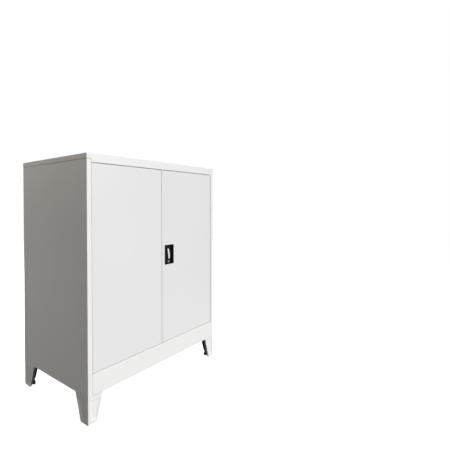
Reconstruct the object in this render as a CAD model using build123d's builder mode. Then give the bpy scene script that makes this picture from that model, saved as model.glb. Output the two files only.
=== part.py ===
"""Low steel tool cabinet with two hinged doors, two shelves, pressed legs and a turn-lever lock.

Millimetres. +Z is up, the doors face -Y, +X is to the right of someone facing the doors.
The origin is on the floor, under the middle of the cabinet.
"""
from build123d import *
from math import acos, cos, pi, radians, sin, tan
import os

# ---------------------------------------------------------------- driving dimensions
# carcass
width = 900.0
depth = 450.0
height = 1020.0
sheet = 0.8                     # steel sheet of the carcass, the doors and the shelves
bend = 2.0                      # outside radius of a folded edge
cap_height = 20.0               # flange of the top cover
cap_reveal = 1.5                # shadow gap under the flange of the top cover
cap_fold = 13.0                 # inward fold of a side panel, under the cover
header_height = 34.0            # top of the cabinet to the door opening
skirt_height = 82.0             # underside of the body to the door opening
stile_width = 23.0              # face of the side panel beside a door
rebate_depth = 24.0             # front face to the door stop
stop_width = 23.0               # door stop beside a stile
stop_lip = 12.0                 # stiffening fold behind a door stop
stop_height = 17.0              # door stop above the skirt and under the header
rail_fold = 12.0                # fold that joins a rail to its stop
rear_flange = 30.0              # fold of a side panel round the back
seam_strip_width = 33.0
seam_strip_rise = 5.0

# legs
leg_height = 98.0
leg_sheet = 2.0
leg_top_width = 78.0
leg_foot_width = 48.0
leg_return = 12.0               # fold along the slanted edge
leg_reveal = 0.8                # hairline between body and leg
panel_inset = 14.0              # pressed panel: distance from the corner, the top and the foot
panel_border = 10.0             # pressed panel: distance from the slanted edge
panel_depth = 1.2
ring_border = 62.0              # flat frame that closes the underside
bolt_radius = 3.0
bolt_head_radius = 5.0
bolt_head_height = 4.0
bolt_inset = 50.0               # bolt from the corner, both ways
glide_drop = 8.0                # glide shown under the leg
glide_radius = 12.0
glide_flutes = 12
glide_inset = 30.0              # centre of the glide from the corner
stem_radius = 4.0
stem_length = 22.0
stem_nut_radius = 7.0
stem_nut_height = 5.0

# shelves
shelf_lip = 20.0
shelf_hem = 10.0
shelf_setback = 2.0             # front lip behind the door stop
shelf_lift_lower = 271.0        # floor panel to the top of the lower shelf
shelf_lift_upper = 481.0
shelf_clearance = 1.0
post_width = 30.0
post_depth = 14.0
post_setback = 2.0              # post behind the lip of the door stop, or before the back
slot_height = 12.0
slot_width = 5.0
slot_pitch = 30.0
clip_width = 14.0
clip_sheet = 1.5
clip_ledge = 11.0
clip_height = 16.0

# doors
door_gap = 2.0
door_recess = 1.5               # door face behind the front of the carcass
door_thickness = 19.0
hinge_stile_width = 55.0
left_closing_stile_width = 65.0
right_closing_stile_width = 104.0
rib_width = 50.0
rib_from_hinge = 185.0
foot_flange = 9.0               # spot-welding flange of a stile or rib
stile_lip = 8.0
pin_radius = 2.5
pin_from_edge = 9.0             # hinge axis from the hinged edge of the door
pin_from_face = 4.5             # hinge axis behind the door face
pin_root = 16.0                 # pin inside the door
pin_reach = 7.0                 # pin beyond the sheet that carries its bush
running = 0.05                  # radial clearance of turning and sliding fits
thread_sides = 8                # threaded shanks and their holes are plain octagons
bush_wall = 1.7
bush_flange_radius = 5.2
bush_flange = 1.2
bumper_radius = 4.0
bumper_from_middle = 30.0
bumper_clearance = 0.3

# lock
lock_x = 55.5                   # middle of the lock from the middle of the cabinet
lock_z = 593.0
plate_width = 69.0
plate_height = 91.0
plate_sheet = 1.5
plate_corner = 2.5
recess_border = 4.0
recess_depth = 8.0
pan_wall = 1.5
pan_clearance = 0.3             # pan to the cut-out in the door skin
lever_rise = 4.5                # lever axis above the middle of the plate
lever_length = 51.0
lever_width = 11.0
lever_sway = 3.0
lever_curve = 40.0              # radius of each half of the S-shaped grip
lever_thickness = 5.5
lever_hub_radius = 9.5
hub_height = 1.5
lever_clearance = 0.3
spindle_radius = 4.0
key_drop = 33.5                 # key cylinder below the middle of the plate
key_radius = 6.0
key_rim = 1.6
key_stand = 2.5
key_slot_width = 1.4
key_slot_length = 7.5
tongue_length = 10.0
tongue_width = 6.0
tongue_sheet = 2.0
window_width = 72.0
window_height = 200.0
window_from_edge = 23.0

# gear, racks and rods behind the plate
module_size = 1.6
tooth_count = 10
pressure_angle = radians(25)
addendum = 0.8 * module_size
dedendum = 1.0 * module_size
backlash = 0.2
lever_turn = radians(90)
gear_width = 5.0
gear_gap = 2.0                  # gear behind the lock pan
rod_radius = 3.5
rod_offset = 14.0               # axis of a rod from the axis of the lever
rod_setback = 0.5               # end of a rod inside the edge of the door
rack_overrun = 7.0
keeper_clearance = 2.0
bracket_sheet = 1.5
bracket_gap = 0.3
bracket_width = 62.0
bracket_height = 16.0
bracket_corner = 4.0
boss_radius = 3.5
boss_inset = 4.5
screw_radius = 1.6
screw_head_radius = 3.0
screw_head_height = 1.0
guide_width = 16.0
guide_height = 14.0
guide_from_end = 90.0

# ---------------------------------------------------------------- derived places
half_w = width / 2
half_d = depth / 2
front_y = -half_d
leg_foot_z = glide_drop
body_z = leg_foot_z + leg_height
wall_z = body_z + sheet
cap_z = height - cap_height
wall_top_z = cap_z - cap_reveal
sill_z = body_z + skirt_height
head_z = height - header_height
floor_z = sill_z + stop_height
stop_y = front_y + rebate_depth
jamb_x = half_w - stile_width
stop_x = jamb_x - stop_width
inner_wall_x = half_w - sheet
back_y = half_d - 2 * sheet
post_x = inner_wall_x - post_depth
front_post_y = stop_y + stop_lip + post_setback
rear_post_y = back_y - post_setback - post_width

door_face_y = front_y + door_recess
door_back_y = door_face_y + door_thickness
skin_y = door_face_y + sheet
door_low_z = sill_z + door_gap
door_high_z = head_z - door_gap
door_edge_x = jamb_x - door_gap
door_width = door_edge_x - door_gap / 2
door_height = door_high_z - door_low_z
hinge_x = door_edge_x - pin_from_edge
hinge_y = door_face_y + pin_from_face
bush_radius = pin_radius + running + bush_wall

lever_z = lock_z + lever_rise
key_z = lock_z - key_drop
recess_width = plate_width - 2 * recess_border
recess_height = plate_height - 2 * recess_border
pan_width = recess_width + 2 * pan_wall
pan_height = recess_height + 2 * pan_wall
plate_y = door_face_y - plate_sheet
recess_y = plate_y + recess_depth
pan_back_y = recess_y + pan_wall
gear_y = pan_back_y + gear_gap
gear_back_y = gear_y + gear_width
rod_y = (gear_y + gear_back_y) / 2
bracket_y = rod_y + rod_radius + bracket_gap
pitch_radius = module_size * tooth_count / 2
rod_stroke = pitch_radius * lever_turn
rod_hole = rod_radius + running

os.makedirs("parts", exist_ok=True)


# ---------------------------------------------------------------- shared forms
def at_y(y):
    """Plane facing -Y at depth y, with local x to the right and local y up."""
    return Plane.XZ.offset(-y)


def folded(plane, points, length, inside, radii):
    """Sheet folded along an outline of its visible faces, `length` long along the plane's normal.

    `radii` has one value for each fold: bend where it shows, 0 for a crisp hidden one.
    """
    with BuildPart() as piece:
        with BuildSketch(plane):
            with BuildLine():
                FilletPolyline(*points, radius=radii)
                offset(amount=sheet, side=inside, kind=Kind.INTERSECTION)
            make_face()
        extrude(amount=length)
    return piece


def save(piece, name):
    """Label a finished piece and write its STEP file."""
    piece.part.label = name
    export_step(piece.part, f"parts/{name}.step")


# ---------------------------------------------------------------- side panels
def side_panel(side):
    """Side wall, stile, rebate and door stop folded from one sheet, with the fold under the cover."""
    outline = [
        (side * (half_w - rear_flange), half_d),
        (side * half_w, half_d),
        (side * half_w, front_y),
        (side * jamb_x, front_y),
        (side * jamb_x, stop_y),
        (side * stop_x, stop_y),
        (side * stop_x, stop_y + stop_lip),
    ]
    inside = Side.RIGHT if side > 0 else Side.LEFT
    fold_x = inner_wall_x - cap_fold
    with BuildPart() as panel:
        with BuildSketch(Plane.XY.offset(wall_z)):
            with BuildLine():
                FilletPolyline(*outline, radius=(bend, bend, bend, 0, bend))
                offset(amount=sheet, side=inside, kind=Kind.INTERSECTION)
            make_face()
        extrude(amount=wall_top_z - wall_z)
        with BuildSketch(at_y(stop_y + stop_lip)):
            with BuildLine():
                Polyline(
                    (side * inner_wall_x, wall_top_z - sheet),
                    (side * (fold_x - sheet), wall_top_z - sheet),
                    (side * (fold_x - sheet), height - sheet),
                    (side * fold_x, height - sheet),
                    (side * fold_x, wall_top_z),
                    (side * inner_wall_x, wall_top_z),
                    close=True,
                )
            make_face()
        extrude(amount=-(back_y - stop_y - stop_lip))
    return panel


for side, hand in ((-1, "left"), (1, "right")):
    save(side_panel(side), f"side_panel_{hand}")

# ---------------------------------------------------------------- back
back_edge_x = inner_wall_x - bend
back_top_z = height - bend
for side, hand in ((-1, "left"), (1, "right")):
    with BuildPart() as back_panel:
        with BuildSketch(at_y(back_y)):
            with Locations((side * back_edge_x / 2, (wall_z + back_top_z) / 2)):
                Rectangle(back_edge_x, back_top_z - wall_z)
        extrude(amount=-sheet)
    save(back_panel, f"back_panel_{hand}")

half_strip = seam_strip_width / 2
strip_y = back_y - seam_strip_rise
seam_strip = folded(
    Plane.XY.offset(floor_z),
    [
        (-half_strip, back_y),
        (-half_strip + seam_strip_rise, strip_y),
        (half_strip - seam_strip_rise, strip_y),
        (half_strip, back_y),
    ],
    cap_z - floor_z,
    Side.LEFT,
    (0, 0),
)
with BuildPart() as back_seam_strip:
    add(seam_strip.part)
    with BuildSketch(Plane.XY.offset(floor_z)):
        with Locations((0, back_y + bend)):
            Rectangle(seam_strip_width + 2 * bend, 2 * bend)
    extrude(amount=cap_z - floor_z, mode=Mode.SUBTRACT)
save(back_seam_strip, "back_seam_strip")

# ---------------------------------------------------------------- top cover
with BuildPart() as top_cover:
    with BuildSketch(Plane.XY.offset(cap_z)):
        Rectangle(width, depth)
    extrude(amount=cap_height)
    fillet(top_cover.faces().sort_by(Axis.Z)[-1].edges(), radius=bend)
    offset(amount=-sheet, openings=top_cover.faces().sort_by(Axis.Z)[0])
save(top_cover, "top_cover")

# ---------------------------------------------------------------- header rail and its door stop
rail_length = 2 * jamb_x
header = folded(
    Plane.YZ.offset(-jamb_x),
    [
        (front_y + cap_fold, cap_z),
        (front_y, cap_z),
        (front_y, head_z),
        (stop_y, head_z),
        (stop_y, head_z + rail_fold),
    ],
    rail_length,
    Side.LEFT,
    (0, bend, 0),
)
with BuildPart() as header_rail:
    add(header.part)
    with BuildSketch(Plane.XY.offset(head_z)):
        with Locations((-hinge_x, hinge_y), (hinge_x, hinge_y)):
            RegularPolygon(bush_radius, 6)
        with Locations((lock_x + rod_offset, rod_y)):
            Circle(rod_radius + keeper_clearance)
    extrude(amount=rail_fold, mode=Mode.SUBTRACT)
save(header_rail, "header_rail")

header_stop = folded(
    Plane.YZ.offset(-stop_x),
    [
        (stop_y, head_z + rail_fold),
        (stop_y, head_z - stop_height),
        (stop_y + stop_lip, head_z - stop_height),
    ],
    2 * stop_x,
    Side.LEFT,
    (bend,),
)
save(header_stop, "header_stop")

# ---------------------------------------------------------------- front skirt
skirt = folded(
    Plane.YZ.offset(-jamb_x),
    [
        (front_y + cap_fold, wall_z),
        (front_y, wall_z),
        (front_y, sill_z),
        (stop_y, sill_z),
        (stop_y, sill_z - rail_fold),
    ],
    rail_length,
    Side.RIGHT,
    (bend, bend, 0),
)
with BuildPart() as front_skirt:
    add(skirt.part)
    with BuildSketch(Plane.XY.offset(sill_z)):
        with Locations((-hinge_x, hinge_y), (hinge_x, hinge_y)):
            RegularPolygon(bush_radius, 6)
        with Locations((lock_x - rod_offset, rod_y)):
            Circle(rod_radius + keeper_clearance)
    extrude(amount=-rail_fold, mode=Mode.SUBTRACT)
save(front_skirt, "front_skirt")


# ---------------------------------------------------------------- floor panel and shelves
def tray(top_z, front, back, tongue_x, half_width, lip, hem, name):
    """Pressed tray with folded edges, notched at the front so that it passes between the stops."""
    shoulder_y = stop_y + stop_lip + shelf_clearance
    with BuildPart() as piece:
        with BuildSketch(Plane.XY.offset(top_z)):
            with BuildLine():
                Polyline(
                    (-tongue_x, front),
                    (tongue_x, front),
                    (tongue_x, shoulder_y),
                    (half_width, shoulder_y),
                    (half_width, back),
                    (-half_width, back),
                    (-half_width, shoulder_y),
                    (-tongue_x, shoulder_y),
                    close=True,
                )
            make_face()
        extrude(amount=-sheet)
        with BuildSketch(Plane.YZ.offset(-tongue_x)):
            with Locations((front, top_z - lip)):
                Rectangle(sheet, lip - sheet, align=Align.MIN)
                Rectangle(hem, sheet, align=Align.MIN)
        extrude(amount=2 * tongue_x)
        with BuildSketch(Plane.XY.offset(top_z - sheet)):
            with Locations(
                (half_width - sheet / 2, (shoulder_y + back) / 2),
                (-half_width + sheet / 2, (shoulder_y + back) / 2),
            ):
                Rectangle(sheet, back - shoulder_y)
            with Locations((0, back - sheet / 2)):
                Rectangle(2 * half_width, sheet)
        extrude(amount=-(lip - sheet))
        fillet(
            piece.edges().filter_by(Axis.X).group_by(Axis.Y)[0].sort_by(Axis.Z)[-1],
            radius=sheet * 0.8,
        )
    save(piece, name)


tray(floor_z, stop_y, back_y, stop_x, inner_wall_x, stop_height + rail_fold, sheet, "floor_panel")

shelf_front = stop_y + shelf_setback
shelf_back = strip_y - shelf_clearance
shelf_half = post_x - shelf_clearance
shelf_tongue = stop_x - 3 * shelf_clearance
shelf_heights = {"lower": floor_z + shelf_lift_lower, "upper": floor_z + shelf_lift_upper}
for level, top_z in shelf_heights.items():
    tray(top_z, shelf_front, shelf_back, shelf_tongue, shelf_half, shelf_lip, shelf_hem, f"shelf_{level}")

# ---------------------------------------------------------------- slotted posts and shelf clips
slot_rows = int((head_z - floor_z - 2 * slot_pitch) / slot_pitch)
for side, hand in ((-1, "left"), (1, "right")):
    for low_y, end in ((front_post_y, "front"), (rear_post_y, "rear")):
        high_y = low_y + post_width
        channel = folded(
            Plane.XY.offset(floor_z),
            [
                (side * inner_wall_x, low_y),
                (side * post_x, low_y),
                (side * post_x, high_y),
                (side * inner_wall_x, high_y),
            ],
            wall_top_z - sheet - floor_z,
            Side.LEFT if side < 0 else Side.RIGHT,
            (0, 0),
        )
        with BuildPart() as post:
            add(channel.part)
            for level, top_z in shelf_heights.items():
                for row in range(-2, 3):
                    slot_z = top_z - shelf_lip - clip_height / 2 + row * slot_pitch
                    with BuildSketch(Plane.YZ.offset(side * post_x)):
                        with Locations(((low_y + high_y) / 2, slot_z)):
                            Rectangle(slot_width, slot_height)
                    extrude(amount=side * sheet, mode=Mode.SUBTRACT)
        save(post, f"shelf_post_{end}_{hand}")

for level, top_z in shelf_heights.items():
    rest_z = top_z - shelf_lip
    with BuildPart() as clips:
        for side in (-1, 1):
            for low_y in (front_post_y, rear_post_y):
                mid_y = low_y + post_width / 2
                with BuildSketch(at_y(mid_y - clip_width / 2)):
                    with BuildLine():
                        Polyline(
                            (side * post_x, rest_z),
                            (side * (post_x - clip_ledge), rest_z),
                            (side * (post_x - clip_ledge), rest_z - clip_sheet),
                            (side * (post_x - clip_sheet), rest_z - clip_sheet),
                            (side * (post_x - clip_sheet), rest_z - clip_height),
                            (side * post_x, rest_z - clip_height),
                            close=True,
                        )
                    make_face()
                extrude(amount=-clip_width)
                with BuildSketch(at_y(mid_y - slot_width / 2 + running)):
                    with Locations((side * (post_x + sheet), rest_z - clip_height / 2)):
                        Rectangle(2 * sheet, slot_height - 2 * running)
                extrude(amount=-(slot_width - 2 * running))
    save(clips, f"shelf_clips_{level}")

# ---------------------------------------------------------------- underside frame, legs, bolts, glides
bolt_places = [
    (sx * (half_w - bolt_inset), sy * (half_d - bolt_inset)) for sx in (-1, 1) for sy in (-1, 1)
]
with BuildPart() as base_frame:
    with BuildSketch(Plane.XY.offset(body_z)):
        Rectangle(width, depth)
        Rectangle(width - 2 * ring_border, depth - 2 * ring_border, mode=Mode.SUBTRACT)
        with Locations(*bolt_places):
            RegularPolygon(bolt_radius + running, thread_sides, mode=Mode.SUBTRACT)
    extrude(amount=sheet)
save(base_frame, "base_frame")


def wing(top, foot, top_z):
    """Corner-side outline of one face of a leg, as (distance from the corner, height) points."""
    return [(0, top_z), (top, top_z), (foot, leg_foot_z), (0, leg_foot_z)]


def leg(sx, sy):
    """Two tapered faces with a pressed panel each, folded edges, a top plate and a foot plate."""
    face_top_z = body_z - leg_reveal
    slope = (leg_top_width - leg_foot_width) / leg_height
    planes = (
        (Plane.XZ.offset(-sy * half_d), sx, half_w, sy),
        (Plane.YZ.offset(sx * half_w), sy, half_d, -sx),
    )
    with BuildPart() as piece:
        for plane, sign, half, inward in planes:
            with BuildSketch(plane):
                with BuildLine():
                    outline = wing(leg_top_width, leg_foot_width, face_top_z)
                    Polyline(*[(sign * (half - a), z) for a, z in outline], close=True)
                make_face()
            extrude(amount=inward * leg_sheet)
            with BuildSketch(plane):
                with BuildLine():
                    strip = [
                        (leg_top_width, face_top_z),
                        (leg_foot_width, leg_foot_z),
                        (leg_foot_width - leg_sheet, leg_foot_z),
                        (leg_top_width - leg_sheet, face_top_z),
                    ]
                    Polyline(*[(sign * (half - a), z) for a, z in strip], close=True)
                make_face()
            extrude(amount=inward * leg_return)
        with BuildSketch(Plane.XY.offset(body_z)):
            with Locations((sx * (half_w - leg_top_width / 2), sy * (half_d - leg_top_width / 2))):
                Rectangle(leg_top_width - leg_sheet, leg_top_width - leg_sheet)
            with Locations(*bolt_places):
                RegularPolygon(bolt_radius + running, thread_sides, mode=Mode.SUBTRACT)
        extrude(amount=-leg_sheet)
        with BuildSketch(Plane.XY.offset(leg_foot_z)):
            with Locations((sx * (half_w - leg_foot_width / 2), sy * (half_d - leg_foot_width / 2))):
                Rectangle(leg_foot_width - leg_sheet, leg_foot_width - leg_sheet)
            with Locations((sx * (half_w - glide_inset), sy * (half_d - glide_inset))):
                RegularPolygon(stem_radius + running, thread_sides, mode=Mode.SUBTRACT)
        extrude(amount=leg_sheet)
        for plane, sign, half, inward in planes:
            low_z = leg_foot_z + panel_inset
            high_z = face_top_z - panel_inset
            reach_high = leg_foot_width + slope * (high_z - leg_foot_z) - panel_border - leg_sheet
            reach_low = leg_foot_width + slope * (low_z - leg_foot_z) - panel_border - leg_sheet
            panel = [
                (panel_inset, high_z),
                (reach_high, high_z),
                (reach_low, low_z),
                (panel_inset, low_z),
            ]
            with BuildSketch(plane):
                with BuildLine():
                    Polyline(*[(sign * (half - a), z) for a, z in panel], close=True)
                make_face()
            extrude(amount=inward * panel_depth, taper=45, mode=Mode.SUBTRACT)
    return piece


for sx, hand in ((-1, "left"), (1, "right")):
    for sy, end in ((-1, "front"), (1, "rear")):
        save(leg(sx, sy), f"leg_{end}_{hand}")

with BuildPart() as leg_bolts:
    with BuildSketch(Plane.XY.offset(body_z - leg_sheet)):
        with Locations(*bolt_places):
            RegularPolygon(bolt_head_radius, 6)
    extrude(amount=-bolt_head_height)
    with BuildSketch(Plane.XY.offset(body_z - leg_sheet)):
        with Locations(*bolt_places):
            RegularPolygon(bolt_radius, thread_sides)
    extrude(amount=leg_sheet + sheet)
    with BuildSketch(Plane.XY.offset(wall_z)):
        with Locations(*bolt_places):
            RegularPolygon(bolt_head_radius, 6)
    extrude(amount=bolt_head_height)
save(leg_bolts, "leg_bolts")

glide_places = [
    (sx * (half_w - glide_inset), sy * (half_d - glide_inset)) for sx in (-1, 1) for sy in (-1, 1)
]
with BuildPart() as glides:
    with BuildSketch(Plane.XY):
        with Locations(*glide_places):
            RegularPolygon(glide_radius, glide_flutes)
    extrude(amount=leg_foot_z)
    chamfer(glides.faces().group_by(Axis.Z)[0].edges(), length=glide_drop / 5)
save(glides, "glides")

with BuildPart() as glide_stems:
    with BuildSketch(Plane.XY.offset(leg_foot_z)):
        with Locations(*glide_places):
            RegularPolygon(stem_radius, thread_sides)
    extrude(amount=stem_length)
    with BuildSketch(Plane.XY.offset(leg_foot_z + leg_sheet)):
        with Locations(*glide_places):
            RegularPolygon(stem_nut_radius, 6)
    extrude(amount=stem_nut_height)
save(glide_stems, "glide_stems")

# ---------------------------------------------------------------- hinge bushes and door bumpers
with BuildPart() as hinge_bushes:
    for seat_z, out in ((sill_z, 1), (head_z, -1)):
        for side in (-1, 1):
            spot = (side * hinge_x, hinge_y)
            with BuildSketch(Plane.XY.offset(seat_z)):
                with Locations(spot):
                    RegularPolygon(bush_flange_radius, 6)
                    Circle(pin_radius + running, mode=Mode.SUBTRACT)
            extrude(amount=out * bush_flange)
            with BuildSketch(Plane.XY.offset(seat_z)):
                with Locations(spot):
                    RegularPolygon(bush_radius, 6)
                    Circle(pin_radius + running, mode=Mode.SUBTRACT)
            extrude(amount=-out * pin_reach)
save(hinge_bushes, "hinge_bushes")

with BuildPart() as door_bumpers:
    with BuildSketch(at_y(stop_y)):
        with Locations(
            (-bumper_from_middle, sill_z + stop_height / 2),
            (bumper_from_middle, sill_z + stop_height / 2),
        ):
            RegularPolygon(bumper_radius, 2 * thread_sides)
    extrude(amount=stop_y - door_back_y - bumper_clearance)
save(door_bumpers, "door_bumpers")


# ---------------------------------------------------------------- doors
def door_skin(side):
    """Face of a door with its four edges folded back, and the holes for pins, rods and lock."""
    with BuildPart() as skin:
        with BuildSketch(at_y(door_back_y)):
            with Locations((side * (door_edge_x - door_width / 2), (door_low_z + door_high_z) / 2)):
                Rectangle(door_width, door_height)
        extrude(amount=door_thickness)
        fillet(skin.faces().sort_by(Axis.Y)[0].edges(), radius=bend - 0.4)
        offset(amount=-sheet, openings=skin.faces().sort_by(Axis.Y)[-1])
        for edge_z, inward in ((door_low_z, 1), (door_high_z, -1)):
            with BuildSketch(Plane.XY.offset(edge_z)):
                with Locations((side * hinge_x, hinge_y)):
                    Circle(pin_radius)
            extrude(amount=inward * sheet, mode=Mode.SUBTRACT)
        if side > 0:
            for edge_z, inward, offset_x in (
                (door_low_z, 1, -rod_offset),
                (door_high_z, -1, rod_offset),
            ):
                with BuildSketch(Plane.XY.offset(edge_z)):
                    with Locations((lock_x + offset_x, rod_y)):
                        Circle(rod_hole)
                extrude(amount=inward * sheet, mode=Mode.SUBTRACT)
            with BuildSketch(at_y(skin_y)):
                with Locations((lock_x, lock_z)):
                    Rectangle(pan_width + 2 * pan_clearance, pan_height + 2 * pan_clearance)
            extrude(amount=sheet, mode=Mode.SUBTRACT)
    return skin


def door_channel(side, start, outline, inside, radii):
    """Folded stile or rib inside a door; outline runs from `start` as (distance, depth) points."""
    points = [(side * (start - a), y) for a, y in outline]
    return folded(Plane.XY.offset(door_low_z + bend), points, door_height - 2 * bend, inside, radii)


for side, hand in ((-1, "left"), (1, "right")):
    save(door_skin(side), f"{hand}_door_skin")

    hinge_stile = door_channel(
        side,
        door_edge_x,
        [
            (sheet, door_back_y - stile_lip),
            (sheet, door_back_y),
            (hinge_stile_width, door_back_y),
            (hinge_stile_width, skin_y),
            (hinge_stile_width - foot_flange, skin_y),
        ],
        Side.LEFT if side > 0 else Side.RIGHT,
        (bend, bend, 0),
    )
    save(hinge_stile, f"{hand}_door_hinge_stile")

    rib_side = rib_width / 2 - sheet
    rib = door_channel(
        side,
        door_edge_x - rib_from_hinge,
        [
            (-rib_side - foot_flange, skin_y),
            (-rib_side, skin_y),
            (-rib_side, door_back_y - sheet),
            (rib_side, door_back_y - sheet),
            (rib_side, skin_y),
            (rib_side + foot_flange, skin_y),
        ],
        Side.RIGHT if side > 0 else Side.LEFT,
        (0, bend, bend, 0),
    )
    save(rib, f"{hand}_door_rib")

    closing_width = right_closing_stile_width if side > 0 else left_closing_stile_width
    closing = door_channel(
        side,
        door_gap / 2,
        [
            (-closing_width + foot_flange, skin_y),
            (-closing_width, skin_y),
            (-closing_width, door_back_y),
            (-sheet, door_back_y),
            (-sheet, door_back_y - stile_lip),
        ],
        Side.LEFT if side > 0 else Side.RIGHT,
        (0, bend, bend),
    )
    with BuildPart() as closing_stile:
        add(closing.part)
        if side > 0:
            with BuildSketch(at_y(door_back_y)):
                with Locations((door_gap / 2 + window_from_edge + window_width / 2, lock_z)):
                    Rectangle(window_width, window_height)
            extrude(amount=sheet, mode=Mode.SUBTRACT)
    save(closing_stile, f"{hand}_door_closing_stile")

    with BuildPart() as pins:
        for edge_z, inward in ((door_low_z, 1), (door_high_z, -1)):
            outer_z = edge_z - inward * (door_gap + pin_reach)
            with BuildSketch(Plane.XY.offset(outer_z)):
                with Locations((side * hinge_x, hinge_y)):
                    Circle(pin_radius)
            extrude(amount=inward * (door_gap + pin_reach + pin_root))
    save(pins, f"{hand}_door_pins")

# ---------------------------------------------------------------- lock: recessed plate with bosses
boss_places = [(lock_x + i * (bracket_width / 2 - boss_inset), lever_z) for i in (-1, 1)]
with BuildPart() as lock_pan:
    with BuildSketch(at_y(door_face_y)):
        with Locations((lock_x, lock_z)):
            RectangleRounded(plate_width, plate_height, plate_corner)
    extrude(amount=plate_sheet)
    chamfer(lock_pan.faces().sort_by(Axis.Y)[0].edges(), length=plate_sheet / 2)
    with BuildSketch(at_y(pan_back_y)):
        with Locations((lock_x, lock_z)):
            Rectangle(pan_width, pan_height)
    extrude(amount=pan_back_y - door_face_y)
    with BuildSketch(at_y(recess_y)):
        with Locations((lock_x, lock_z)):
            Rectangle(recess_width, recess_height)
    extrude(amount=recess_depth, mode=Mode.SUBTRACT)
    with BuildSketch(at_y(recess_y)):
        with Locations((lock_x, key_z)):
            RegularPolygon(key_radius + key_rim, 2 * thread_sides)
    extrude(amount=key_stand)
    with BuildSketch(at_y(bracket_y)):
        with Locations(*boss_places):
            RegularPolygon(boss_radius, thread_sides)
    extrude(amount=bracket_y - pan_back_y)
    with BuildSketch(at_y(bracket_y)):
        with Locations((lock_x, lever_z)):
            Circle(spindle_radius + running)
        with Locations((lock_x, key_z)):
            Circle(key_radius + running)
        with Locations(*boss_places):
            RegularPolygon(screw_radius, thread_sides)
    extrude(amount=bracket_y - plate_y, mode=Mode.SUBTRACT)
save(lock_pan, "lock_pan")

with BuildPart() as lock_bracket:
    with BuildSketch(at_y(bracket_y + bracket_sheet)):
        with Locations((lock_x, lever_z)):
            Rectangle(bracket_width, bracket_height)
            Circle(spindle_radius + running, mode=Mode.SUBTRACT)
        with Locations(*boss_places):
            RegularPolygon(screw_radius, thread_sides, mode=Mode.SUBTRACT)
    extrude(amount=bracket_sheet)
    chamfer(lock_bracket.edges().filter_by(Axis.Y).group_by(Axis.X)[0], length=bracket_corner)
    chamfer(lock_bracket.edges().filter_by(Axis.Y).group_by(Axis.X)[-1], length=bracket_corner)
save(lock_bracket, "lock_bracket")

with BuildPart() as bracket_screws:
    with BuildSketch(at_y(bracket_y + bracket_sheet)):
        with Locations(*boss_places):
            RegularPolygon(screw_head_radius, 6)
    extrude(amount=-screw_head_height)
    with BuildSketch(at_y(bracket_y + bracket_sheet)):
        with Locations(*boss_places):
            RegularPolygon(screw_radius, thread_sides)
    extrude(amount=bracket_y + bracket_sheet - pan_back_y)
save(bracket_screws, "bracket_screws")

guide_places = (
    (lock_x - rod_offset, door_low_z + guide_from_end),
    (lock_x - rod_offset, lock_z - window_height / 2 - guide_from_end),
    (lock_x + rod_offset, lock_z + window_height / 2 + guide_from_end),
    (lock_x + rod_offset, door_high_z - guide_from_end),
)
with BuildPart() as rod_guides:
    for x, z in guide_places:
        with BuildSketch(Plane.XY.offset(z)):
            with Locations((x, (skin_y + rod_y + rod_radius) / 2)):
                Rectangle(guide_width, rod_y + rod_radius - skin_y)
            with Locations((x, rod_y + rod_radius)):
                Rectangle(
                    2 * rod_hole,
                    2 * rod_radius + running,
                    align=(Align.CENTER, Align.MAX),
                    mode=Mode.SUBTRACT,
                )
        extrude(amount=guide_height)
save(rod_guides, "rod_guides")

# ---------------------------------------------------------------- lever, spindle and gear
half_lever = lever_length / 2
with BuildPart() as lock_lever:
    with BuildSketch(at_y(recess_y - lever_clearance)):
        with Locations((lock_x, lever_z)):
            Circle(lever_hub_radius)
    extrude(amount=hub_height)
    end_run = half_lever - lever_width / 2
    top_end = (lock_x - lever_sway, lever_z + end_run)
    low_end = (lock_x + lever_sway, lever_z - end_run)
    with BuildSketch(at_y(recess_y - lever_clearance - hub_height)):
        with BuildLine():
            RadiusArc(top_end, (lock_x, lever_z), lever_curve)
            RadiusArc((lock_x, lever_z), low_end, -lever_curve)
        trace(line_width=lever_width)
        with Locations(top_end, low_end):
            Circle(lever_width / 2)
    extrude(amount=lever_thickness)
save(lock_lever, "lock_lever")


def gear_outline():
    """Pitch-thinned involute teeth with radial flanks under the base circle, as (x, z) points."""
    base_radius = pitch_radius * cos(pressure_angle)
    tip_radius = pitch_radius + addendum
    root_radius = pitch_radius - dedendum
    half_tooth = (pi * module_size / 2 - backlash) / (2 * pitch_radius)
    flank_turn = half_tooth + tan(pressure_angle) - pressure_angle
    steps = 3
    flank = [(root_radius, flank_turn)]
    for step in range(steps + 1):
        radius = base_radius + (tip_radius - base_radius) * step / steps
        roll = acos(base_radius / radius)
        flank.append((radius, flank_turn - (tan(roll) - roll)))
    points = []
    for tooth in range(tooth_count):
        middle = 2 * pi * tooth / tooth_count
        for radius, turn in flank:
            points.append((radius * cos(middle - turn), radius * sin(middle - turn)))
        for radius, turn in reversed(flank):
            points.append((radius * cos(middle + turn), radius * sin(middle + turn)))
    return points


with BuildPart() as lock_gear:
    with BuildSketch(at_y(gear_back_y)):
        with BuildLine():
            Polyline(*[(lock_x + x, lever_z + z) for x, z in gear_outline()], close=True)
        make_face()
        with Locations((lock_x, lever_z)):
            Circle(spindle_radius, mode=Mode.SUBTRACT)
    extrude(amount=gear_width)
save(lock_gear, "lock_gear")

with BuildPart() as lock_spindle:
    with BuildSketch(at_y(bracket_y + bracket_sheet)):
        with Locations((lock_x, lever_z)):
            Circle(spindle_radius)
    extrude(amount=bracket_y + bracket_sheet - recess_y + lever_clearance)
save(lock_spindle, "lock_spindle")

# ---------------------------------------------------------------- rods with their racks
rack_face = pitch_radius + dedendum
rack_tip = pitch_radius - addendum
rack_pitch = pi * module_size


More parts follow.
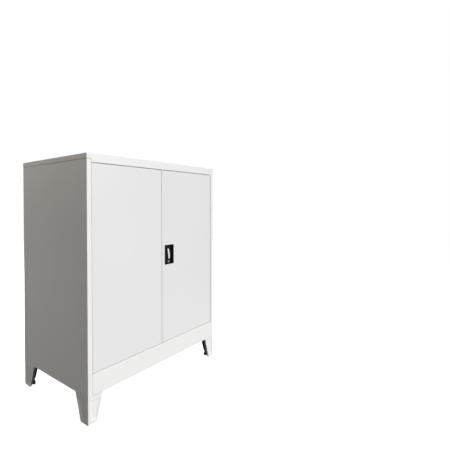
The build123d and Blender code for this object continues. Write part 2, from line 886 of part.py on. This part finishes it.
def rod(side):
    """Round rod with a toothed bar beside the gear; side +1 goes up, side -1 goes down."""
    reach = rod_stroke + rack_overrun
    near_z = lever_z + side * rack_overrun
    far_z = lever_z - side * reach
    tip_z = door_high_z - rod_setback if side > 0 else door_low_z + rod_setback
    half_low = rack_pitch / 4 + dedendum * tan(pressure_angle)
    half_high = rack_pitch / 4 - addendum * tan(pressure_angle)
    with BuildPart() as piece:
        with BuildSketch(at_y(gear_back_y)):
            with BuildLine():
                Polyline(
                    (lock_x + side * rack_face, near_z),
                    (lock_x + side * (rod_offset + rod_radius), near_z),
                    (lock_x + side * (rod_offset + rod_radius), far_z),
                    (lock_x + side * rack_face, far_z),
                    close=True,
                )
            make_face()
            count = int((reach - half_low) / rack_pitch + 0.5)
            for place in range(-1, count):
                middle = lever_z - side * (place + 0.5) * rack_pitch
                with BuildLine():
                    Polyline(
                        (lock_x + side * rack_face, middle - half_low),
                        (lock_x + side * rack_tip, middle - half_high),
                        (lock_x + side * rack_tip, middle + half_high),
                        (lock_x + side * rack_face, middle + half_low),
                        close=True,
                    )
                make_face()
        extrude(amount=gear_width)
        with BuildSketch(Plane.XY.offset(far_z)):
            with Locations((lock_x + side * rod_offset, rod_y)):
                Circle(rod_radius)
        extrude(amount=tip_z - far_z)
        chamfer(piece.faces().sort_by(Axis.Z)[-1 if side > 0 else 0].edges(), length=rod_radius / 4)
    return piece


save(rod(1), "rod_upper")
save(rod(-1), "rod_lower")

# ---------------------------------------------------------------- key cylinder
with BuildPart() as key_plug:
    with BuildSketch(at_y(pan_back_y + pan_wall)):
        with Locations((lock_x, key_z)):
            Circle(key_radius)
    extrude(amount=pan_back_y + pan_wall - recess_y + key_stand + lever_clearance)
    with BuildSketch(at_y(recess_y - key_stand - lever_clearance)):
        with Locations((lock_x, key_z)):
            Rectangle(key_slot_width, key_slot_length)
    extrude(amount=-key_stand, mode=Mode.SUBTRACT)
save(key_plug, "key_plug")

with BuildPart() as key_tongue:
    with BuildSketch(at_y(pan_back_y + pan_wall + tongue_sheet)):
        with Locations((lock_x, key_z)):
            SlotCenterToCenter(tongue_length, tongue_width)
    extrude(amount=tongue_sheet)
save(key_tongue, "key_tongue")
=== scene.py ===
import math

import bmesh
import bpy
from mathutils import Matrix, Vector


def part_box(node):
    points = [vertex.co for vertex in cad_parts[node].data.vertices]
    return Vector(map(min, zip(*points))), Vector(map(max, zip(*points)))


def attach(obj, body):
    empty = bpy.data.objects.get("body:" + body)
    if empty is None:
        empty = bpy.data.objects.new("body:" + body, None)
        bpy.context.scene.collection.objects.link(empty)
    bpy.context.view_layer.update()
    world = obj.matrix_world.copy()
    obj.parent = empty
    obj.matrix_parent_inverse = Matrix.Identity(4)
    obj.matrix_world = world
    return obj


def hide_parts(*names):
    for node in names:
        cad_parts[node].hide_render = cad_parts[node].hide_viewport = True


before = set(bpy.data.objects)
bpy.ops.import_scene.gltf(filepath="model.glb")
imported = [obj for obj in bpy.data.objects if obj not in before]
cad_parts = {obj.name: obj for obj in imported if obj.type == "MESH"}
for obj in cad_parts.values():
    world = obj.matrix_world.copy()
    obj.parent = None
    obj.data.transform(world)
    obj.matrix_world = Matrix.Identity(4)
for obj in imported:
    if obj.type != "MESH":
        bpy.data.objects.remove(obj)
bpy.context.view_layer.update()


# ------------------------------------------------------------------ carcass panels
# The carcass is folded from thin cold-rolled steel and spot welded, then powder coated in one
# light grey-white. The coat is semi-matt, with the faint pebble that powder leaves when it melts
# and soft clouds where it lies a little thinner.
def speckle(finish, size, detail):
    """Soft uneven pattern over a piece, in blotches of about one size."""
    nodes, links = finish.node_tree.nodes, finish.node_tree.links
    place = nodes.new("ShaderNodeTexCoord")
    pattern = nodes.new("ShaderNodeTexNoise")
    pattern.inputs["Scale"].default_value = 1 / size
    pattern.inputs["Detail"].default_value = detail
    links.new(place.outputs["Object"], pattern.inputs["Vector"])
    return pattern.outputs["Fac"]


def tint_by(finish, pattern, low_colour, high_colour, low_at=0.0, high_at=1.0):
    """Colour that drifts between two shades with a pattern."""
    nodes, links = finish.node_tree.nodes, finish.node_tree.links
    tint = nodes.new("ShaderNodeValToRGB")
    low_stop, high_stop = tint.color_ramp.elements
    low_stop.position = low_at
    low_stop.color = (*low_colour, 1)
    high_stop.position = high_at
    high_stop.color = (*high_colour, 1)
    links.new(pattern, tint.inputs["Fac"])
    links.new(tint.outputs["Color"], nodes["Principled BSDF"].inputs["Base Color"])


def gloss_by(finish, pattern, low_roughness, high_roughness):
    """Roughness that drifts between two values with a pattern."""
    nodes, links = finish.node_tree.nodes, finish.node_tree.links
    gloss = nodes.new("ShaderNodeMapRange")
    gloss.inputs["To Min"].default_value = low_roughness
    gloss.inputs["To Max"].default_value = high_roughness
    links.new(pattern, gloss.inputs["Value"])
    links.new(gloss.outputs["Result"], nodes["Principled BSDF"].inputs["Roughness"])


def relief_by(finish, pattern, depth, strength):
    """Fine bumps that follow a pattern."""
    nodes, links = finish.node_tree.nodes, finish.node_tree.links
    relief = nodes.new("ShaderNodeBump")
    relief.inputs["Strength"].default_value = strength
    relief.inputs["Distance"].default_value = depth
    links.new(pattern, relief.inputs["Height"])
    links.new(relief.outputs["Normal"], nodes["Principled BSDF"].inputs["Normal"])


def powder_coat(name, thick_colour, thin_colour, roughness, pebble_depth):
    """Semi-matt coat, unevenly rough with its pebble and unevenly thick in soft clouds."""
    cloud_size, cloud_detail = 0.35, 3
    cloud_edges = 0.30, 0.70
    pebble_size, pebble_detail = 0.0009, 2
    pebble_strength = 0.25
    smoother, rougher = 0.05, 0.07
    shine = 0.4
    coat = bpy.data.materials.new(name)
    coat.use_nodes = True
    clouds = speckle(coat, cloud_size, cloud_detail)
    tint_by(coat, clouds, thin_colour, thick_colour, *cloud_edges)
    pebble = speckle(coat, pebble_size, pebble_detail)
    gloss_by(coat, pebble, roughness - smoother, roughness + rougher)
    relief_by(coat, pebble, pebble_depth, pebble_strength)
    coat.node_tree.nodes["Principled BSDF"].inputs["Specular IOR Level"].default_value = shine
    return coat


def finish_nodes(finish, *names):
    """Give CAD pieces their finish."""
    for name in names:
        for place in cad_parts[name].material_slots:
            place.material = finish


carcass_coat = powder_coat(
    "carcass_coat",
    thick_colour=(0.86, 0.865, 0.86),
    thin_colour=(0.84, 0.845, 0.84),
    roughness=0.42,
    pebble_depth=0.00004,
)
finish_nodes(
    carcass_coat,
    "side_panel_left",
    "side_panel_right",
    "back_panel_left",
    "back_panel_right",
    "back_seam_strip",
    "top_cover",
    "header_rail",
    "header_stop",
    "front_skirt",
    "floor_panel",
    "base_frame",
    "shelf_post_front_left",
    "shelf_post_front_right",
    "shelf_post_rear_left",
    "shelf_post_rear_right",
)

# ------------------------------------------------------------------ shelves
# Two folded trays of the same steel, which rest on clips in the slotted posts. They are powder
# coated like the carcass, a little flatter and a shade darker.
shelf_coat = powder_coat(
    "shelf_coat",
    thick_colour=(0.84, 0.845, 0.845),
    thin_colour=(0.82, 0.825, 0.825),
    roughness=0.45,
    pebble_depth=0.00004,
)
finish_nodes(shelf_coat, "shelf_lower", "shelf_upper")

# ------------------------------------------------------------------ doors
# Each door is a shallow steel pan with folded edges, stiffened by a stile along each side and a
# rib down the middle. Its powder coat is a shade greyer than the carcass.
door_coat = powder_coat(
    "door_coat",
    thick_colour=(0.79, 0.80, 0.80),
    thin_colour=(0.77, 0.78, 0.78),
    roughness=0.40,
    pebble_depth=0.00004,
)
for hand in ("left", "right"):
    finish_nodes(
        door_coat,
        f"{hand}_door_skin",
        f"{hand}_door_hinge_stile",
        f"{hand}_door_rib",
        f"{hand}_door_closing_stile",
    )


# ------------------------------------------------------------------ legs
# Each leg is pressed from 2 mm steel folded round its corner, with a shallow panel in both faces,
# a skirt round its glide, a foot plate and a top plate bolted under the body. It is powder coated
# outside. The inside, the turned-in edges and both plates are near black: painted shade for the
# dark inside of the leg.
def formed_piece(name, form, *finishes):
    """Smooth-shaded piece from a bmesh, with its finishes in order."""
    for face in form.faces:
        face.smooth = True
    mesh = bpy.data.meshes.new(name)
    form.to_mesh(mesh)
    form.free()
    for finish in finishes:
        mesh.materials.append(finish)
    piece = bpy.data.objects.new(name, mesh)
    bpy.context.scene.collection.objects.link(piece)
    return piece


def soften_edges(piece, width, from_degrees):
    """Small rounding along every edge sharper than an angle."""
    rounding = piece.modifiers.new("rounding", "BEVEL")
    rounding.width = width
    rounding.segments = 2
    rounding.limit_method = "ANGLE"
    rounding.angle_limit = math.radians(from_degrees)
    rounding.harden_normals = True


def pressed_leg(node, coat, inside_shade):
    """Leg drawn from its outer corner: a runs along a face, and d is the depth in from it."""
    # index 1 is the near-black painted shade inside the leg, on its turned-in edges and on its
    # plates
    painted, shaded = 0, 1
    sheet = 0.002
    fold = 0.0025
    fold_cut = 0.3 * fold
    turned_in = 0.012
    turned_in_at_foot = 0.0032
    foot_reach = 0.048
    reveal = 0.0003
    panel_inset = 0.014
    panel_border = 0.010
    press_slope = 0.0034
    press_depth = 0.0024
    skirt_drop = 0.006
    plate_reveal = 0.0001
    lug_shoulder = 0.024
    lug_side = 0.036
    lug_end = 0.0385
    lug_cut = 0.030
    low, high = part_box(node)
    side_x = math.copysign(1, low.x + high.x)
    side_y = math.copysign(1, low.y + high.y)
    corner_x = max(abs(low.x), abs(high.x))
    corner_y = max(abs(low.y), abs(high.y))
    top_reach = high.x - low.x
    top_z = high.z - reveal
    skirt_z = low.z - skirt_drop
    spread = (top_reach - foot_reach) / (top_z - low.z)
    # height, depth of the pressed panel, width of the turned-in edge
    rows = (
        (skirt_z, 0.0, turned_in_at_foot),
        (skirt_z + panel_inset, 0.0, turned_in),
        (skirt_z + panel_inset + press_slope, press_depth, turned_in),
        (top_z - panel_inset - press_slope, press_depth, turned_in),
        (top_z - panel_inset, 0.0, turned_in),
        (top_z, 0.0, turned_in),
    )
    form = bmesh.new()
    grid = []
    for z, depth, lip in rows:
        edge = foot_reach + spread * (z - low.z)
        border = edge - panel_border
        half = (
            (edge, lip),
            (edge, fold),
            (edge - fold_cut, fold_cut),
            (edge - fold, 0.0),
            (border, 0.0),
            (border - press_slope, depth),
            (panel_inset + press_slope, depth),
            (panel_inset, 0.0),
            (fold, 0.0),
        )
        row = [*half, (fold_cut, fold_cut), *((d, a) for a, d in reversed(half))]
        grid.append([
            form.verts.new((side_x * (corner_x - a), side_y * (corner_y - d), z)) for a, d in row
        ])
    last = len(grid[0]) - 2
    for below, above in zip(grid, grid[1:]):
        for column in range(last + 1):
            ring = [below[column], below[column + 1], above[column + 1], above[column]]
            if side_x * side_y > 0:
                ring.reverse()
            form.faces.new(ring).material_index = shaded if column in (0, last) else painted
    for z, reach in ((low.z + sheet, foot_reach), (high.z - plate_reveal, top_reach)):
        outline = (
            (sheet, sheet),
            (reach - sheet, sheet),
            (lug_side, lug_shoulder),
            (lug_end, lug_cut),
            (lug_side, lug_side),
            (lug_cut, lug_end),
            (lug_shoulder, lug_side),
            (sheet, reach - sheet),
        )
        plate = [
            form.verts.new((side_x * (corner_x - a), side_y * (corner_y - d), z))
            for a, d in outline
        ]
        if side_x * side_y < 0:
            plate.reverse()
        form.faces.new(plate).material_index = shaded
    leg = formed_piece(node + "_pressing", form, coat, inside_shade)
    wall = leg.modifiers.new("wall", "SOLIDIFY")
    wall.thickness = sheet
    wall.offset = -1
    wall.use_even_offset = True
    wall.material_offset = shaded
    wall.material_offset_rim = shaded
    soften_edges(leg, width=0.0005, from_degrees=12)
    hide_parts(node)
    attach(leg, "cabinet")


# Near-black painted shade, standing in for the dark inside of each leg, its edges and its plates.
leg_inside_shade = powder_coat(
    "leg_inside_shade",
    thick_colour=(0.016, 0.016, 0.016),
    thin_colour=(0.010, 0.010, 0.010),
    roughness=0.55,
    pebble_depth=0.00003,
)
for end in ("front", "rear"):
    for hand in ("left", "right"):
        pressed_leg(f"leg_{end}_{hand}", carcass_coat, leg_inside_shade)


# ------------------------------------------------------------------ zinc-plated fittings
# Bolts, hinge pins, shelf clips, lock rods, gear and bracket are plain steel, barrel plated in
# bright zinc, which lies on them in soft blotches.
def plated_steel(name, colour, roughness, blotch_size):
    """Plated metal, with soft blotches a little darker and smoother than the rest."""
    blotch_detail = 4
    blotch_edges = 0.35, 0.65
    dark_share = 0.82
    smoother, rougher = 0.06, 0.10
    plate = bpy.data.materials.new(name)
    plate.use_nodes = True
    plate.node_tree.nodes["Principled BSDF"].inputs["Metallic"].default_value = 1.0
    blotches = speckle(plate, blotch_size, blotch_detail)
    tint_by(plate, blotches, [c * dark_share for c in colour], colour, *blotch_edges)
    gloss_by(plate, blotches, roughness - smoother, roughness + rougher)
    return plate


bright_zinc = plated_steel("bright_zinc", (0.52, 0.53, 0.54), roughness=0.34, blotch_size=0.006)
finish_nodes(
    bright_zinc,
    "shelf_clips_lower",
    "shelf_clips_upper",
    "leg_bolts",
    "left_door_pins",
    "right_door_pins",
    "lock_bracket",
    "bracket_screws",
    "lock_spindle",
    "lock_gear",
    "key_tongue",
    "rod_upper",
    "rod_lower",
)


# ------------------------------------------------------------------ bushes, guides and bumpers
# Hinge bushes and rod guides are natural nylon, moulded with a fine spark-eroded grain. The two
# door bumpers on the floor edge are soft grey rubber.
def moulded_plastic(name, colour, roughness, grain_size, grain_depth, shine):
    """Plastic or rubber with the grain of its mould."""
    grain_detail = 3
    grain_strength = 0.4
    dark_share, light_share = 0.75, 1.15
    uneven = 0.08
    plastic = bpy.data.materials.new(name)
    plastic.use_nodes = True
    grain = speckle(plastic, grain_size, grain_detail)
    dark = [c * dark_share for c in colour]
    light = [c * light_share for c in colour]
    tint_by(plastic, grain, dark, light)
    gloss_by(plastic, grain, roughness - uneven, roughness + uneven)
    relief_by(plastic, grain, grain_depth, grain_strength)
    plastic.node_tree.nodes["Principled BSDF"].inputs["Specular IOR Level"].default_value = shine
    return plastic


natural_nylon = moulded_plastic(
    "natural_nylon",
    colour=(0.62, 0.60, 0.54),
    roughness=0.5,
    grain_size=0.0015,
    grain_depth=0.00004,
    shine=0.5,
)
grey_rubber = moulded_plastic(
    "grey_rubber",
    colour=(0.24, 0.24, 0.235),
    roughness=0.75,
    grain_size=0.0010,
    grain_depth=0.00005,
    shine=0.3,
)
finish_nodes(natural_nylon, "hinge_bushes", "rod_guides")
finish_nodes(grey_rubber, "door_bumpers")


# ------------------------------------------------------------------ levelling glides
# Each glide is one moulding of black nylon: a three-cornered pad that fills the foot of its leg,
# and a round boss over the head of its stem. The pad is partly painted shade: its dark edge below
# the leg's skirt stands in for the shadow under the leg. The stem is zinc plated and passivated
# black.
def join_rings(form, rings):
    """Skin over rings of equal count, with the first and last closed."""
    count = len(rings[0])
    form.faces.new(list(reversed(rings[0])))
    for near, far in zip(rings, rings[1:]):
        for step in range(count):
            after = (step + 1) % count
            form.faces.new((near[step], near[after], far[after], far[step]))
    form.faces.new(rings[-1])


black_nylon = moulded_plastic(
    "black_nylon",
    colour=(0.003, 0.003, 0.0032),
    roughness=0.50,
    grain_size=0.0008,
    grain_depth=0.00006,
    shine=0.06,
)
black_zinc = plated_steel("black_zinc", (0.045, 0.045, 0.048), roughness=0.45, blotch_size=0.004)
finish_nodes(black_zinc, "glide_stems")
glide_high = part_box("glides")[1]
leg_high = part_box("leg_rear_right")[1]
glide_top = glide_high.z
# The pad is real glide moulding and painted shadow at once: its rim below the skirt is a painted
# shadow line.
pad_gap = 0.0026
pad_reach = 0.0455
pad_lift = 0.0008
pad_round = 0.0012
pad_blunt = 0.001
# height, how far the pad draws in
pad_rows = (
    (pad_lift, pad_round),
    (pad_lift + pad_round, 0.0),
    (glide_top, 0.0),
)
stem_from_edge = 0.012
foot_boss_radius = 0.0072
foot_boss_sides = 24
# height, share of the full radius
foot_boss_rows = (
    (0.0, 0.85),
    (0.0004, 0.94),
    (0.0012, 1.0),
    (0.0062, 1.0),
    (0.0074, 0.90),
    (glide_top, 0.75),
)
form = bmesh.new()
for side_x in (-1, 1):
    for side_y in (-1, 1):
        rings = []
        for z, inset in pad_rows:
            near = pad_gap + inset
            far = pad_reach - 2 * inset
            blunt = pad_gap + pad_blunt
            corners = ((near, near), (far, near), (far, blunt), (blunt, far), (near, far))
            ring = [
                form.verts.new((side_x * (leg_high.x - a), side_y * (leg_high.y - d), z))
                for a, d in corners
            ]
            if side_x * side_y < 0:
                ring.reverse()
            rings.append(ring)
        join_rings(form, rings)
        stem_x = side_x * (glide_high.x - stem_from_edge)
        stem_y = side_y * (glide_high.y - stem_from_edge)
        rings = []
        for z, share in foot_boss_rows:
            ring = []
            for step in range(foot_boss_sides):
                turn = 2 * math.pi * step / foot_boss_sides
                x = stem_x + foot_boss_radius * share * math.cos(turn)
                y = stem_y + foot_boss_radius * share * math.sin(turn)
                ring.append(form.verts.new((x, y, z)))
            rings.append(ring)
        join_rings(form, rings)
glide_set = formed_piece("glide_set", form, black_nylon)
soften_edges(glide_set, width=0.0003, from_degrees=35)
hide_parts("glides")
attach(glide_set, "cabinet")


# ------------------------------------------------------------------ lock plate
# A deep black nylon dish, moulded in one, that snaps into the cut-out of the right door. It has a
# rounded rim, drafted walls, a raised collar round the key cylinder and two bosses behind.
def rounded_ring(form, middle, half_wide, half_tall, corner, y, steps=4):
    """Ring of a rounded rectangle facing the front, seen from there running anticlockwise."""
    ring = []
    for quarter, (sx, sz) in enumerate(((1, 1), (-1, 1), (-1, -1), (1, -1))):
        for step in range(steps + 1):
            turn = math.pi / 2 * (quarter + step / steps)
            x = middle.x + sx * (half_wide - corner) + corner * math.cos(turn)
            z = middle.z + sz * (half_tall - corner) + corner * math.sin(turn)
            ring.append(form.verts.new((x, y, z)))
    return ring


def round_ring(form, middle, radius, y, sides, start=0.0):
    """Ring of a circle facing the front; start is in steps, where the first point stands."""
    ring = []
    for step in range(sides):
        turn = 2 * math.pi * (step + start) / sides
        x = middle.x + radius * math.cos(turn)
        z = middle.z + radius * math.sin(turn)
        ring.append(form.verts.new((x, y, z)))
    return ring


def turned_body(form, middle, profile, sides):
    """Closed turned body round an axis to the front, from (radius, y) pairs, rearmost first."""
    join_rings(form, [round_ring(form, middle, radius, y, sides) for radius, y in profile])


plate_low, plate_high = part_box("lock_pan")
key_low, key_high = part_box("key_plug")
lever_low, lever_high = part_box("lock_lever")
bracket_low, bracket_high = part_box("lock_bracket")
plate_middle = (plate_low + plate_high) / 2
key_middle = (key_low + key_high) / 2
lever_middle = (lever_low + lever_high) / 2
half_wide = (plate_high.x - plate_low.x) / 2
half_tall = (plate_high.z - plate_low.z) / 2
dish_wall = 0.0015
dish_deep = 0.0080
rim = 0.0040
face_y = plate_low.y
seat_y = face_y + dish_wall
floor_y = face_y + dish_deep
back_y = floor_y + dish_wall
# inset from the edge, corner radius, y; from the back, round the rim and into the dish
dish_profile = (
    (rim - dish_wall + 0.0010, 0.0020, back_y),
    (rim - dish_wall, 0.0025, back_y - 0.0010),
    (rim - dish_wall, 0.0025, seat_y),
    (0.0002, 0.0024, seat_y),
    (0.0, 0.0025, seat_y - 0.0004),
    (0.0002, 0.0025, face_y + 0.0004),
    (0.0008, 0.0022, face_y),
    (rim - 0.0008, 0.0022, face_y),
    (rim - 0.0002, 0.0020, face_y + 0.0003),
    (rim, 0.0019, face_y + 0.0010),
    (rim + 0.0006, 0.0018, floor_y - 0.0012),
    (rim + 0.0010, 0.0016, floor_y - 0.0003),
    (rim + 0.0020, 0.0012, floor_y),
)
collar_radius = 0.0076
collar_stand = 0.0025
collar_cut = 0.0006
collar_sides = 40
screw_boss_radius = 0.0034
screw_boss_draft = 0.92
screw_boss_inset = 0.0045
screw_boss_sides = 24
form = bmesh.new()
rings = [
    rounded_ring(form, plate_middle, half_wide - inset, half_tall - inset, corner, y)
    for inset, corner, y in dish_profile
]
join_rings(form, rings)
collar = (
    (collar_radius, floor_y),
    (collar_radius, floor_y - collar_stand + collar_cut),
    (collar_radius - collar_cut, floor_y - collar_stand),
)
turned_body(form, key_middle, collar, collar_sides)
screw_boss = (
    (screw_boss_radius * screw_boss_draft, bracket_low.y),
    (screw_boss_radius, back_y),
)
for x in (bracket_low.x + screw_boss_inset, bracket_high.x - screw_boss_inset):
    turned_body(form, Vector((x, 0, lever_middle.z)), screw_boss, screw_boss_sides)
lock_dish = formed_piece("lock_dish", form, black_nylon)
soften_edges(lock_dish, width=0.0002, from_degrees=40)
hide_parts("lock_pan")
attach(lock_dish, "right_door")

# ------------------------------------------------------------------ turn lever
# The lever is die-cast zinc, satin chrome plated: an S-shaped finger grip on a low round hub.
# It is fullest over the hub, and leans left above the spindle and right below it.
satin_chrome = plated_steel(
    "satin_chrome", (0.56, 0.565, 0.57), roughness=0.34, blotch_size=0.012
)
hub_radius = 0.0065
hub_height = 0.0015
hub_cut = 0.0006
hub_crown = 0.0030
hub_crown_rise = 0.0002
hub_sides = 40
grip_back_y = lever_high.y - hub_height
grip_thick = grip_back_y - lever_low.y
inside_box = 0.995
half_long = inside_box * (lever_high.z - lever_low.z) / 2
upper_part = 0.86
end_half_wide = 0.0058
belly_half_wide = 0.0063
tip_half_wide = 0.0002
sway = 0.0031
sway_turn = 1.35
# shares of the half length and of the full thickness
belly_length = 0.42
end_thick = 0.80
tip_thick = 0.25
# powers under 1, which fill out the ends and sides of a round form
end_fullness = 0.35
side_fullness = 0.7
stations = 25
around = 14
form = bmesh.new()
rings = []
for station in range(stations):
    turn = math.pi * station / (stations - 1)
    along = math.cos(turn)
    fullness = max(0.0, math.sin(turn)) ** end_fullness
    belly = math.exp(-((along / belly_length) ** 2))
    half = (end_half_wide + (belly_half_wide - end_half_wide) * belly) * fullness + tip_half_wide
    thick = grip_thick * (end_thick + (1 - end_thick) * belly)
    thick *= tip_thick + (1 - tip_thick) * fullness
    lean = -sway * math.sin(sway_turn * along) / math.sin(sway_turn)
    reach = half_long * (upper_part if along > 0 else 1)
    ring = []
    for step in range(around):
        side = math.pi * step / (around - 1)
        across = math.copysign(abs(math.cos(side)) ** side_fullness, math.cos(side)) * half
        rise = max(0.0, math.sin(side)) ** side_fullness * thick
        x = lever_middle.x + lean + across
        ring.append(form.verts.new((x, grip_back_y - rise, lever_middle.z + along * reach)))
    rings.append(ring)
join_rings(form, [list(reversed(ring)) for ring in rings])
bmesh.ops.recalc_face_normals(form, faces=form.faces)
hub = (
    (hub_radius, lever_high.y),
    (hub_radius, grip_back_y + hub_cut),
    (hub_radius - hub_cut, grip_back_y),
    (hub_radius - hub_crown, grip_back_y - hub_crown_rise),
)
turned_body(form, lever_middle, hub, hub_sides)
turn_lever = formed_piece("turn_lever", form, satin_chrome)
soften_edges(turn_lever, width=0.0002, from_degrees=50)
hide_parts("lock_lever")
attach(turn_lever, "lever")

# ------------------------------------------------------------------ key cylinder
# The plug of the key cylinder is turned brass, satin chrome plated, with a chamfered face and a
# milled key slot down the middle.
plug_chrome = plated_steel(
    "plug_chrome", (0.27, 0.272, 0.275), roughness=0.34, blotch_size=0.004
)
plug_radius = 0.0059
plug_cut = 0.0005
plug_face_y = key_low.y
slot_half_wide = 0.0007
slot_half_tall = 0.00375
slot_corner = 0.0004
slot_deep = 0.0025
slot_corner_steps = 9
plug_sides = 4 * (slot_corner_steps + 1)
plug_profile = (
    (plug_radius, key_high.y),
    (plug_radius, plug_face_y + plug_cut),
    (plug_radius - plug_cut, plug_face_y),
)
form = bmesh.new()
rings = [
    round_ring(form, key_middle, radius, y, plug_sides, start=0.5) for radius, y in plug_profile
]
for y in (plug_face_y, plug_face_y + slot_deep):
    rings.append(rounded_ring(
        form, key_middle, slot_half_wide, slot_half_tall, slot_corner, y, slot_corner_steps
    ))
join_rings(form, rings)
key_face = formed_piece("key_face", form, plug_chrome)
soften_edges(key_face, width=0.0001, from_degrees=40)
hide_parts("key_plug")
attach(key_face, "key")

# ------------------------------------------------------------------ studio
# A white sweep of floor that stays white to the camera and keeps the soft contact shadow, a broad
# key lamp in front and to the right, a panel in front and one behind, a weak wash on each side,
# and warm dim fill from all round.
floor_size = 12.0
floor_colour = (0.80, 0.80, 0.80)
floor_glow = 0.92
unseen_colour = (0.05, 0.048, 0.046)
fill_colour = (1.0, 0.90, 0.81)
fill_strength = 0.12
plain = (1.0, 1.0, 1.0)
faintly_warm = (1.0, 0.99, 0.98)
warm = (1.0, 0.93, 0.86)


def seen_by_eye(nodes, links):
    """1 for what the camera sees, straight or in gloss or glass."""
    path = nodes.new("ShaderNodeLightPath")
    first = nodes.new("ShaderNodeMath")
    first.operation = "MAXIMUM"
    second = nodes.new("ShaderNodeMath")
    second.operation = "MAXIMUM"
    links.new(path.outputs["Is Camera Ray"], first.inputs[0])
    links.new(path.outputs["Is Glossy Ray"], first.inputs[1])
    links.new(first.outputs["Value"], second.inputs[0])
    links.new(path.outputs["Is Transmission Ray"], second.inputs[1])
    return second.outputs["Value"]


def show_by_ray(nodes, links, unseen, seen, end):
    """One shader for what the camera sees and another for the light that the rest gets."""
    choose = nodes.new("ShaderNodeMixShader")
    links.new(seen_by_eye(nodes, links), choose.inputs["Fac"])
    links.new(unseen, choose.inputs[1])
    links.new(seen, choose.inputs[2])
    links.new(choose.outputs["Shader"], nodes[end].inputs["Surface"])


floor_paint = bpy.data.materials.new("studio_white")
floor_paint.use_nodes = True
nodes, links = floor_paint.node_tree.nodes, floor_paint.node_tree.links
nodes.remove(nodes["Principled BSDF"])
matt = nodes.new("ShaderNodeBsdfDiffuse")
matt.inputs["Color"].default_value = (*floor_colour, 1)
glow = nodes.new("ShaderNodeEmission")
glow.inputs["Strength"].default_value = floor_glow
seen_floor = nodes.new("ShaderNodeAddShader")
links.new(matt.outputs["BSDF"], seen_floor.inputs[0])
links.new(glow.outputs["Emission"], seen_floor.inputs[1])
unseen_floor = nodes.new("ShaderNodeBsdfDiffuse")
unseen_floor.inputs["Color"].default_value = (*unseen_colour, 1)
show_by_ray(
    nodes, links, unseen_floor.outputs["BSDF"], seen_floor.outputs["Shader"], "Material Output"
)

form = bmesh.new()
bmesh.ops.create_grid(form, x_segments=1, y_segments=1, size=floor_size / 2)
floor_mesh = bpy.data.meshes.new("studio_floor")
form.to_mesh(floor_mesh)
form.free()
floor_mesh.materials.append(floor_paint)
floor = bpy.data.objects.new("studio_floor", floor_mesh)
bpy.context.scene.collection.objects.link(floor)

world = bpy.data.worlds.new("studio_fill")
bpy.context.scene.world = world
world.use_nodes = True
nodes, links = world.node_tree.nodes, world.node_tree.links
fill = nodes["Background"]
fill.inputs["Color"].default_value = (*fill_colour, 1)
fill.inputs["Strength"].default_value = fill_strength
white = nodes.new("ShaderNodeBackground")
white.inputs["Color"].default_value = (1, 1, 1, 1)
white.inputs["Strength"].default_value = 1.0
show_by_ray(
    nodes, links, fill.outputs["Background"], white.outputs["Background"], "World Output"
)


def aim_lamp(name, kind, at, aim, power, colour):
    """Lamp at a place, turned towards a point."""
    lamp = bpy.data.lights.new(name, kind)
    lamp.energy = power
    lamp.color = colour
    holder = bpy.data.objects.new(name, lamp)
    holder.location = at
    holder.rotation_mode = "QUATERNION"
    holder.rotation_quaternion = (Vector(aim) - Vector(at)).to_track_quat("-Z", "Y")
    bpy.context.scene.collection.objects.link(holder)
    return lamp


key_lamp = aim_lamp("key_lamp", "SUN", (1.7, -4.3, 2.6), (0.0, 0.0, 0.5), 2.5, plain)
key_lamp.angle = math.radians(25)
# name, place, point aimed at, power, colour, width of the square panel
panels = (
    ("front_panel", (-0.85, -3.0, 0.9), (-0.2, -0.2, 0.5), 19, plain, 0.5),
    ("back_panel", (0.0, 3.8, 1.4), (0.0, 0.2, 0.5), 105, faintly_warm, 0.8),
    ("left_wash", (-1.35, 0.45, 2.0), (-0.45, 0.15, 0.9), 5.4, warm, 0.6),
    ("right_wash", (2.0, 0.5, 1.6), (0.45, 0.1, 0.7), 9, faintly_warm, 0.8),
)
for name, at, aim, power, colour, width in panels:
    aim_lamp(name, "AREA", at, aim, power, colour).size = width

# ------------------------------------------------------------------ camera
# Stands 1.3 m from the front left edge, level with the upper part of the doors and nearly upright.
# Its focal length and the centre of its view are in pixels of a frame 450 wide and 450 high.
eye = Vector((-1.295, -1.220, 0.825))
azimuth = math.radians(44.24)
tilt = math.radians(-0.82)
roll = math.radians(-0.29)
image_size = 450
focal_px = 353.3
centre_px = (111.0, 210.2)
sensor = 36.0
forward = Vector((
    math.sin(azimuth) * math.cos(tilt),
    math.cos(azimuth) * math.cos(tilt),
    math.sin(tilt),
))
level_right = Vector((math.cos(azimuth), -math.sin(azimuth), 0))
level_up = level_right.cross(forward)
right = level_right * math.cos(roll) + level_up * math.sin(roll)
up = level_up * math.cos(roll) - level_right * math.sin(roll)
lens = bpy.data.cameras.new("camera")
lens.sensor_width = sensor
lens.lens = focal_px / image_size * sensor
lens.shift_x = (image_size / 2 - centre_px[0]) / image_size
lens.shift_y = (centre_px[1] - image_size / 2) / image_size
camera = bpy.data.objects.new("camera", lens)
camera.matrix_world = Matrix((
    (right.x, up.x, -forward.x, eye.x),
    (right.y, up.y, -forward.y, eye.y),
    (right.z, up.z, -forward.z, eye.z),
    (0, 0, 0, 1),
))
bpy.context.scene.collection.objects.link(camera)
bpy.context.scene.camera = camera
bpy.context.scene.view_settings.view_transform = "Standard"
